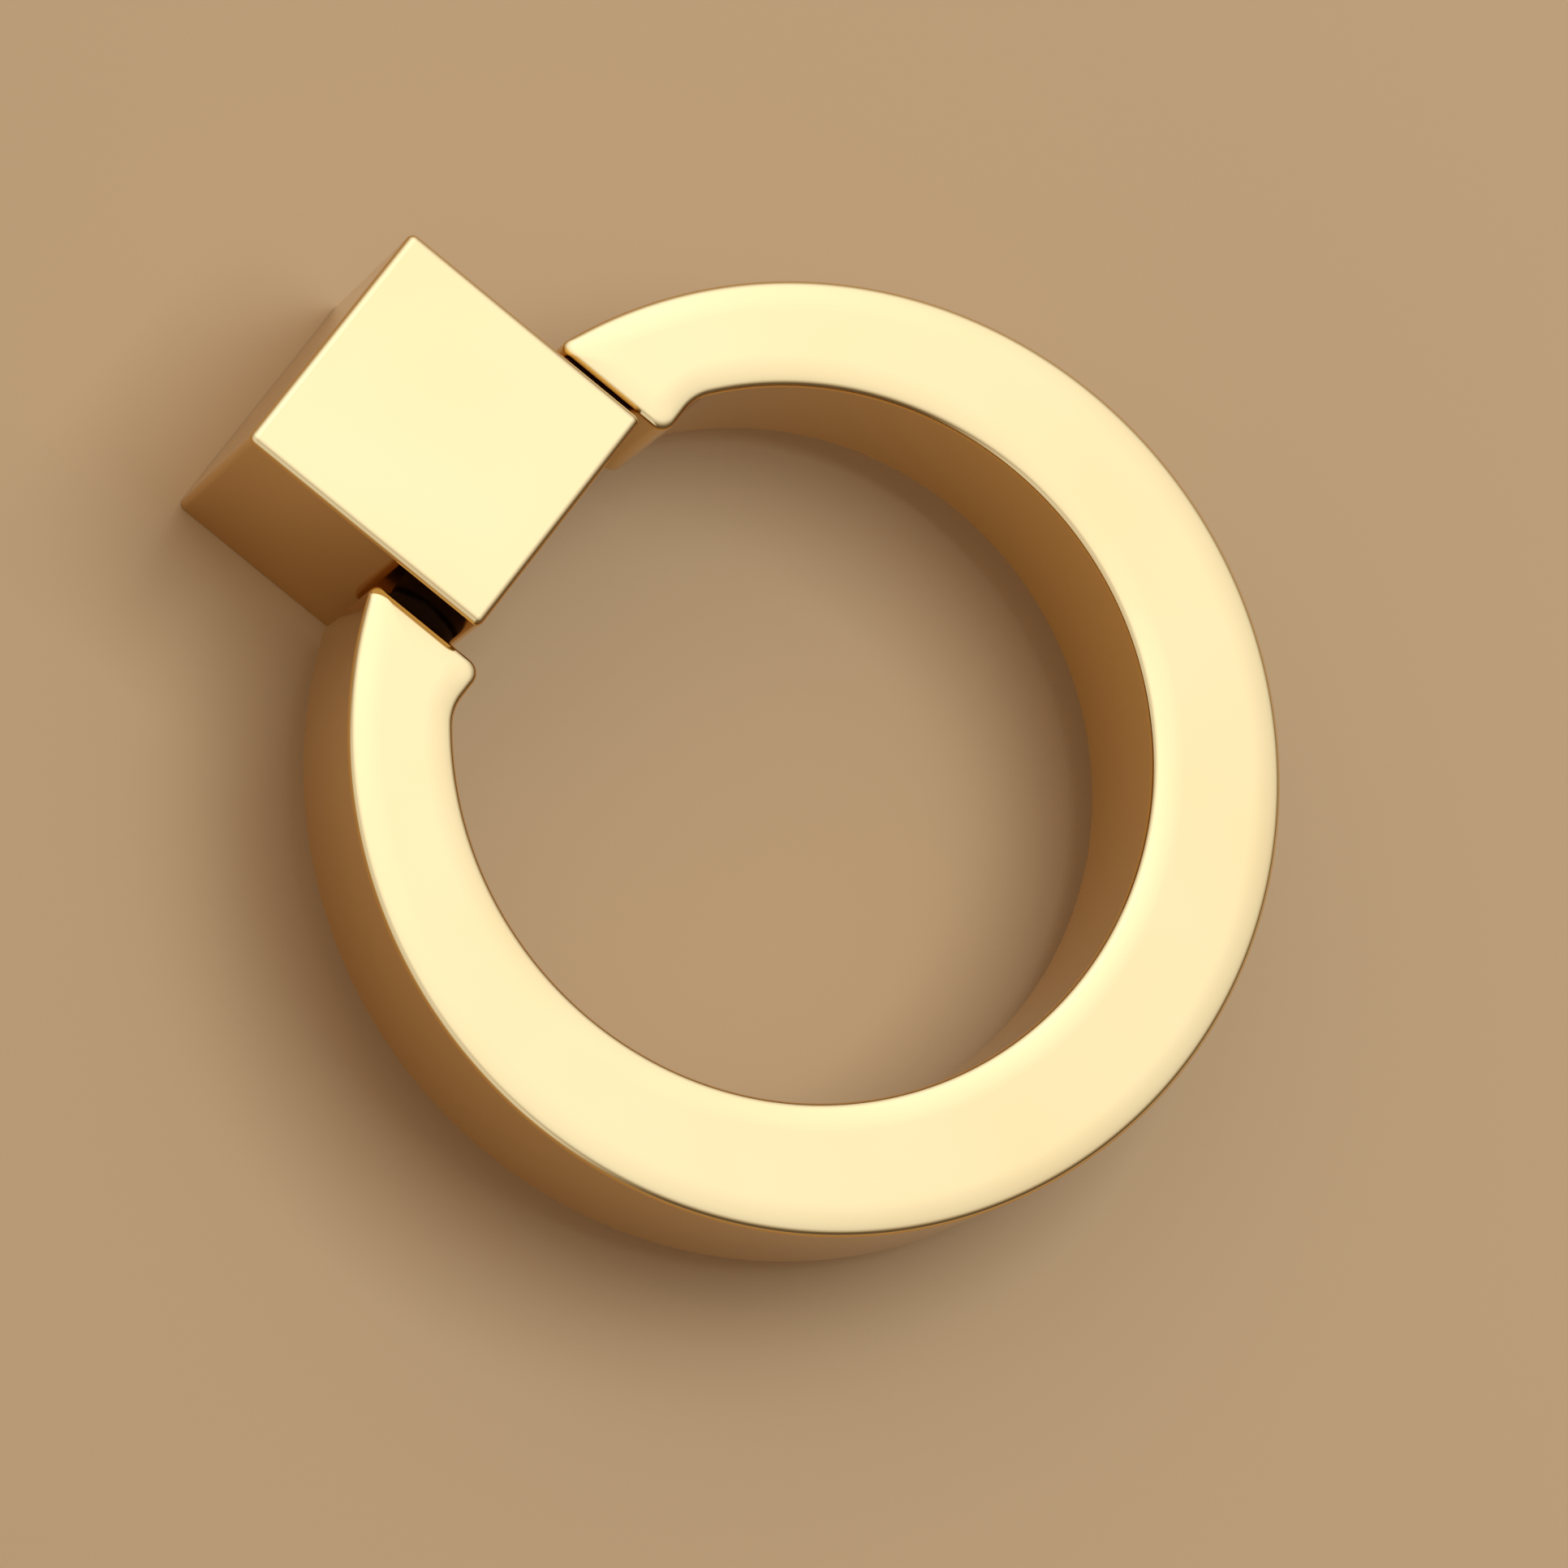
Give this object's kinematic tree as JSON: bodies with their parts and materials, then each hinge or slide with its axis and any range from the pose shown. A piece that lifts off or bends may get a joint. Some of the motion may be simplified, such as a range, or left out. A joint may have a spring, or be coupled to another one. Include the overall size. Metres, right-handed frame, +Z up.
{
  "type": "ring pull handle",
  "caption": "Ring pull handle: a deep C-shaped ring whose end lugs hinge on a pin through a square mounting block that is screwed to a drawer front from behind.",
  "frame": {"origin": "centre of the mounting block's back face, on the surface of the drawer front", "axes": "+Y into the drawer front, -Y towards the user, +Z up the drawer front, +X to the user's right along the hinge pin"},
  "size_m": [0.0606, 0.02, 0.0706],
  "materials": {
    "polished_brass": "polished",
    "pin_steel": "satin",
    "washer_nylon": "matte"
  },
  "bodies": {
    "base": {"mounting_block": "polished_brass", "hinge_pin": "pin_steel", "spacer_washer_left": "washer_nylon", "spacer_washer_right": "washer_nylon"},
    "ring": {"ring": "polished_brass"}
  },
  "joints": [
    {"name": "ring_hinge", "type": "hinge", "parent": "base", "child": "ring", "pos_m": [0, -0.011, -0.0066], "axis": [-1, 0, 0], "range_deg": [-4.8, 184.8]}
  ]
}
